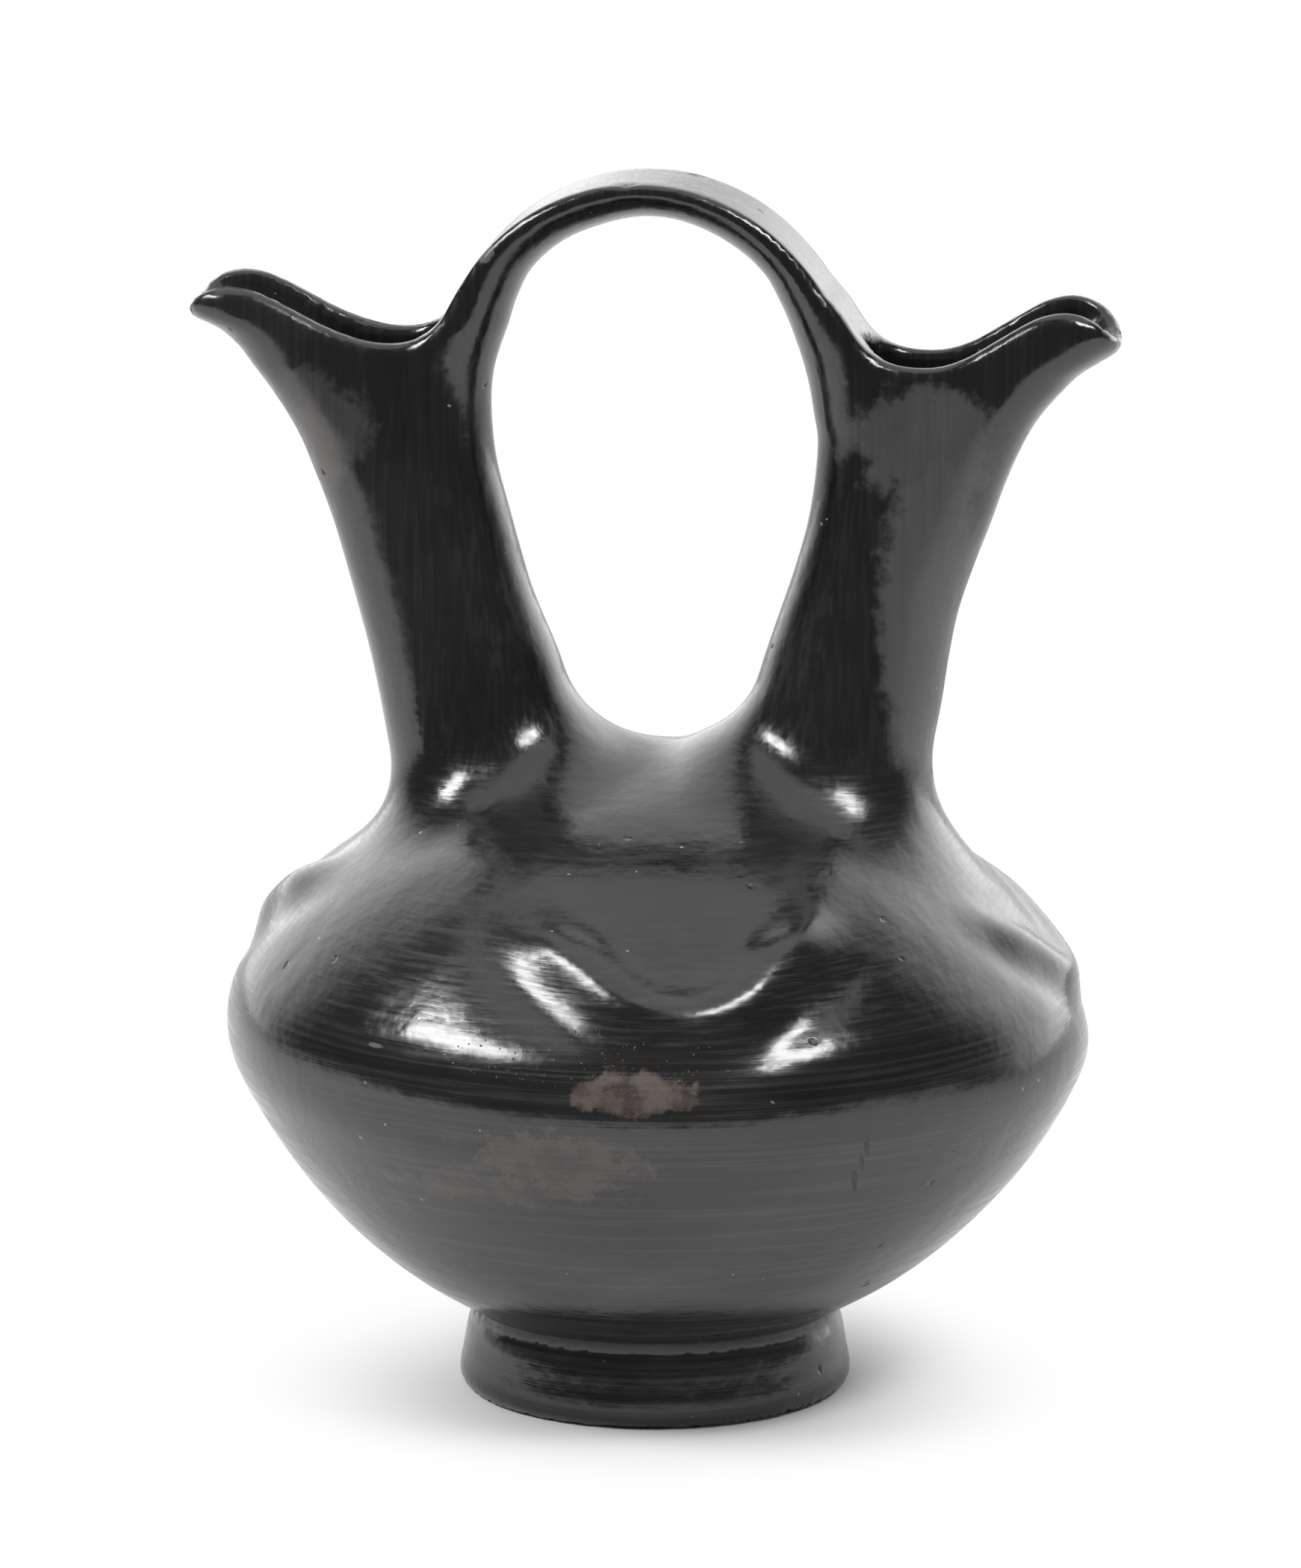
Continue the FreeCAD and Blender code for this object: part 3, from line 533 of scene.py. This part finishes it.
def small_pits():
    """Pinholes where grit fell out, each a soft round dot."""
    sockets = [("Place", "Vector"), ("Count", "Float"), ("Share", "Float")]
    tree, bench, start, end = group("small_pits", sockets, [("Pits", "Float")])
    take = start.outputs
    bent = bench.node("TexNoise", {"Vector": take["Place"], "Scale": 300.0}).outputs["Color"]
    bent = bench.node("VectorMath", {0: bent, 1: (0.0022, 0.0022, 0.0022)}, operation="MULTIPLY").outputs[0]
    place = bench.node("VectorMath", {0: take["Place"], 1: bent}, operation="ADD").outputs[0]
    cells = bench.node("TexVoronoi", {"Vector": place, "Scale": take["Count"]})
    chosen = bench.part(cells.outputs["Color"])[0]
    chosen = bench.math("LESS_THAN", chosen, take["Share"])
    dot = bench.ramp(cells.outputs["Distance"], 0.1, 0.3, 1.0, 0.0)
    tree.links.new(bench.math("MULTIPLY", dot, chosen), end.inputs["Pits"])
    return tree


# worn places, marks and painted sheen in metres: middle, reach, grain of the ragged edge, how ragged, and how
# strong
BROWN_PATCHES = [
    ((0.0072, -0.115, 0.1073), (0.017, 0.02, 0.0055), 170.0, 1.6, 0.9),
    ((0.0000, -0.112, 0.1085), (0.006, 0.02, 0.006), 260.0, 1.8, 0.8),
    ((-0.0128, -0.112, 0.0872), (0.026, 0.03, 0.009), 210.0, 2.4, 0.5),
    ((-0.034, -0.104, 0.078), (0.030, 0.03, 0.005), 150.0, 2.4, 0.35),
    ((-0.090, -0.010, 0.250), (0.010, 0.03, 0.020), 90.0, 1.4, 0.5),
]
# painted sheen: paler grey painted on the necks' flanks, standing in for the bright room's reflection there
PAINTED_SHEEN_PATCHES = [
    ((0.075, -0.012, 0.214), (0.0155, 0.04, 0.050), 75.0, 1.3, 0.9),
    ((0.071, -0.018, 0.261), (0.022, 0.03, 0.016), 85.0, 1.5, 0.8),
    ((-0.089, -0.012, 0.262), (0.016, 0.03, 0.018), 85.0, 1.5, 0.5),
]
CRACKS = [
    ((0.0646, -0.095, 0.0902), (0.0007, 0.02, 0.0034), 420.0, 1.2, 0.8),
    ((0.0632, -0.094, 0.0856), (0.0006, 0.02, 0.0030), 420.0, 1.2, 0.8),
    ((0.0612, -0.092, 0.0806), (0.0007, 0.02, 0.0034), 420.0, 1.2, 0.9),
]
SCRATCHES = [
    ((-0.0626, -0.094, 0.1135), (0.0024, 0.02, 0.0006), 300.0, 0.8, 0.5),
    ((-0.0430, -0.019, 0.3090), (0.0030, 0.006, 0.0030), 300.0, 1.6, 0.5),
]
PITTED_PLACES = [
    ((-0.006, -0.1095, 0.1150), (0.040, 0.03, 0.009), 90.0, 1.4, 1.0),
    ((0.094, -0.062, 0.084), (0.016, 0.03, 0.014), 90.0, 1.4, 1.0),
    ((-0.082, -0.060, 0.060), (0.030, 0.04, 0.022), 90.0, 1.4, 0.6),
]


# the clay's colours
BLACK = (0.0062, 0.0060, 0.0058, 1)
CLOUDY_BLACK = (0.0115, 0.0108, 0.0102, 1)
STREAK_GREY = (0.029, 0.0275, 0.026, 1)
# painted sheen: the grey that stands in for the room's reflection on the necks' flanks
PAINTED_SHEEN_GREY = (0.058, 0.056, 0.055, 1)
WORN_BROWN = (0.088, 0.068, 0.060, 1)
PALE_CLAY = (0.34, 0.33, 0.31, 1)
# painted shade inside the pits and cracks
PAINTED_PIT_SHADE = (0.004, 0.004, 0.004, 1)


def burnished_clay():
    """Blackware: near-black clay, burnished glossy, with strokes, cloudy wear, pits and specks."""
    material = bpy.data.materials.new("blackware")
    material.use_nodes = True
    bench = Bench(material.node_tree)
    place = bench.node("TexCoord").outputs["Object"]
    strokes_group, patch_group, pits_group = burnish_strokes(), ragged_patch(), small_pits()

    def use(tree, **values):
        made = bench.node("Group", node_tree=tree)
        for label, value in {"Place": place, **values}.items():
            if isinstance(value, bpy.types.NodeSocket):
                bench.tree.links.new(value, made.inputs[label])
            else:
                made.inputs[label].default_value = value
        return made.outputs[0]

    def patches(places):
        total = 0.0
        for middle, reach, grain, rag, strength in places:
            mask = use(patch_group, Middle=middle, Reach=reach, Grain=grain, Rag=rag)
            total = bench.math("MAXIMUM", bench.math("MULTIPLY", mask, strength), total)
        return total

    strokes = use(strokes_group)
    cloud = bench.noise(place, 14.0, 5.0, 0.6)
    fine = bench.noise(place, 130.0, 6.0, 0.65)
    brown = patches(BROWN_PATCHES)
    brown = bench.math("MULTIPLY", brown, bench.ramp(fine, 0.38, 0.6, 0.35, 1.0))
    pitted = patches(PITTED_PLACES)
    pits = bench.math("MULTIPLY", use(pits_group, Count=950.0, Share=0.25), pitted)
    stray = bench.math("MAXIMUM", use(pits_group, Count=210.0, Share=0.012), patches(CRACKS))
    specks = use(pits_group, Count=560.0, Share=0.004)
    black = bench.blend(bench.ramp(cloud, 0.42, 0.66), BLACK, CLOUDY_BLACK)
    low = bench.ramp(bench.part(place)[2], 0.085, 0.165, 1.0, 0.15)
    streaks = bench.math("MULTIPLY", bench.ramp(strokes, 0.44, 0.66), low)
    streaks = bench.math("MULTIPLY", streaks, bench.ramp(cloud, 0.35, 0.6, 0.25, 1.0))
    black = bench.blend(streaks, black, STREAK_GREY)
    # painted sheen: the necks' flanks are painted paler grey for the room's reflection; these places are also
    # made rougher below
    painted_sheen = bench.math("MULTIPLY", patches(PAINTED_SHEEN_PATCHES), bench.ramp(cloud, 0.2, 0.5, 0.5, 1.0))
    black = bench.blend(painted_sheen, black, PAINTED_SHEEN_GREY)
    color = bench.blend(brown, black, WORN_BROWN)
    scratches = bench.math("MULTIPLY", patches(SCRATCHES), 0.5)
    pale = bench.math("MAXIMUM", bench.math("MULTIPLY", specks, 0.7), scratches)
    color = bench.blend(pale, color, PALE_CLAY)
    # painted shade: pits and cracks are painted darker than the clay; their added roughness and sunken bump
    # are the surface's own
    holes = bench.math("MAXIMUM", pits, stray)
    color = bench.blend(holes, color, PAINTED_PIT_SHADE)
    rough = bench.ramp(strokes, 0.3, 0.7, 0.13, 0.25)
    rough = bench.math("ADD", rough, bench.ramp(cloud, 0.45, 0.75, 0.0, 0.06))
    rough = bench.math("ADD", rough, bench.math("MULTIPLY", bench.math("MAXIMUM", brown, painted_sheen), 0.2))
    rough = bench.math("ADD", rough, bench.math("MULTIPLY", holes, 0.3))
    dents = bench.noise(place, 62.0, 3.0, 0.5)
    ripple = bench.noise(place, 210.0, 3.0, 0.5)
    height = bench.math("MULTIPLY", strokes, 0.04)
    height = bench.math("ADD", height, bench.math("MULTIPLY", dents, 0.42))
    height = bench.math("ADD", height, bench.math("MULTIPLY", ripple, 0.08))
    height = bench.math("SUBTRACT", height, bench.math("MULTIPLY", pits, 0.12))
    height = bench.math("SUBTRACT", height, bench.math("MULTIPLY", stray, 0.2))
    bump = bench.node("Bump", {"Height": height, "Strength": 1.0, "Distance": 0.001})
    shader = bench.node("BsdfPrincipled", {
        "Base Color": color, "Roughness": rough, "IOR": 1.59, "Normal": bump.outputs[0],
    })
    output = bench.node("OutputMaterial")
    bench.tree.links.new(shader.outputs[0], output.inputs[0])
    return material


# the studio: a white sweep that ends a little in front, a dark room before it, and two soft boxes
FLOOR = ((-3.0, -0.45), (3.0, 6.0))
PAPER = (0.8, 0.8, 0.8, 1)
WHITE = (1, 1, 1, 1)


def make_floor():
    """The white sweep: paper with the shadow round the foot, and plain white to the camera further off."""
    ground = bmesh.new()
    corners = [ground.verts.new((x, y, 0)) for x, y in (
        FLOOR[0], (FLOOR[1][0], FLOOR[0][1]), FLOOR[1], (FLOOR[0][0], FLOOR[1][1]),
    )]
    ground.faces.new(corners)
    mesh = bpy.data.meshes.new("floor")
    ground.to_mesh(mesh)
    ground.free()
    floor = bpy.data.objects.new("floor", mesh)
    bpy.context.scene.collection.objects.link(floor)
    material = bpy.data.materials.new("white_sweep")
    material.use_nodes = True
    bench = Bench(material.node_tree)
    place = bench.node("TexCoord").outputs["Object"]
    far = bench.node("VectorMath", {0: place}, operation="LENGTH").outputs["Value"]
    away = bench.ramp(far, 0.045, 0.12)
    seen = bench.math("MULTIPLY", away, bench.node("LightPath").outputs["Is Camera Ray"])
    paper = bench.node("BsdfPrincipled", {"Base Color": PAPER, "Roughness": 0.9})
    white = bench.node("Emission", {"Color": WHITE, "Strength": 1.0})
    both = bench.node("MixShader", {0: seen, 1: paper.outputs[0], 2: white.outputs[0]})
    output = bench.node("OutputMaterial")
    bench.tree.links.new(both.outputs[0], output.inputs[0])
    mesh.materials.append(material)


def make_soft_box(name, turn, rise, size, power, distance=1.6):
    """A soft box seen from the vase at a turn from the front and a rise, in degrees."""
    light = bpy.data.lights.new(name, "AREA")
    light.shape = "RECTANGLE"
    light.size, light.size_y = size
    light.energy = power
    holder = bpy.data.objects.new(name, light)
    turn, rise = math.radians(turn), math.radians(rise)
    way = Vector((math.sin(turn) * math.cos(rise), -math.cos(turn) * math.cos(rise), math.sin(rise)))
    holder.location = Vector((0, 0, 0.15)) + way * distance
    holder.rotation_euler = way.to_track_quat("Z", "Y").to_euler()
    bpy.context.scene.collection.objects.link(holder)


# the room's light at its sides behind the vase, above, before the vase, and everywhere else
SIDE_LIGHT = (2.7, 2.7, 2.7, 1)
TOP_LIGHT = (1.25, 1.25, 1.25, 1)
FRONT_LIGHT = (0.12, 0.12, 0.12, 1)
ROOM_LIGHT = (1.3, 1.3, 1.3, 1)


def make_world():
    """A pale room: bright above and behind, and dark before the vase."""
    world = bpy.data.worlds.new("studio")
    bpy.context.scene.world = world
    world.use_nodes = True
    bench = Bench(world.node_tree)
    way = bench.node("TexCoord").outputs["Generated"]
    x, y, z = bench.part(way)
    level = bench.node("CombineXYZ", {0: x, 1: y}).outputs[0]
    level = bench.node("VectorMath", {0: level}, operation="NORMALIZE").outputs[0]

    def facing(turn, half, soft):
        """A mask of the room at a turn from the front, by its half width in degrees and soft edge."""
        turn = math.radians(turn)
        side = (math.sin(turn), -math.cos(turn), 0)
        near = bench.node("VectorMath", {0: level, 1: side}, operation="DOT_PRODUCT").outputs["Value"]
        edge = math.cos(math.radians(half))
        return bench.ramp(near, edge - soft, edge + soft)

    left_side = bench.math("MULTIPLY", facing(-140, 30, 0.1), 0.7)
    sides = bench.math("MAXIMUM", facing(138, 30, 0.1), left_side)
    light = bench.blend(sides, ROOM_LIGHT, SIDE_LIGHT)
    light = bench.blend(bench.ramp(z, 0.5, 0.9), light, TOP_LIGHT)
    dark = bench.math("MULTIPLY", facing(0, 122, 0.3), bench.ramp(z, 0.82, 0.89, 1.0, 0.0))
    light = bench.blend(dark, light, FRONT_LIGHT)
    light = bench.blend(bench.node("LightPath").outputs["Is Camera Ray"], light, WHITE)
    back = bench.node("Background", {"Color": light, "Strength": 1.0})
    output = bench.node("OutputWorld")
    bench.tree.links.new(back.outputs[0], output.inputs[0])


# the view: how far off, how far to the right in degrees, its height, the height it aims at, and its lens
VIEW_DISTANCE = 2.3
VIEW_TURN = 6
VIEW_HEIGHT = 0.653
AIM_HEIGHT = 0.164
SENSOR = 36
LENS = 202.6
SHIFT = -6 / 2100  # 6 pixels of the frame's longer side


def make_camera():
    """A long lens, to the right of the vase and a little above it."""
    data = bpy.data.cameras.new("camera")
    data.sensor_width = SENSOR
    data.lens = LENS
    data.shift_x = SHIFT
    camera = bpy.data.objects.new("camera", data)
    turn = math.radians(VIEW_TURN)
    camera.location = (VIEW_DISTANCE * math.sin(turn), -VIEW_DISTANCE * math.cos(turn), VIEW_HEIGHT)
    aim = Vector((0, 0, AIM_HEIGHT)) - camera.location
    camera.rotation_euler = aim.to_track_quat("-Z", "Y").to_euler()
    bpy.context.scene.collection.objects.link(camera)
    bpy.context.scene.camera = camera


vase = make_vase()
vase.data.materials.clear()
vase.data.materials.append(burnished_clay())
make_floor()
make_soft_box("left_box", -57, 41, (0.92, 0.30), 19.0)
make_soft_box("right_box", 43, 48, (0.74, 0.32), 16.0)
make_world()
make_camera()
bpy.context.scene.view_settings.view_transform = "Standard"
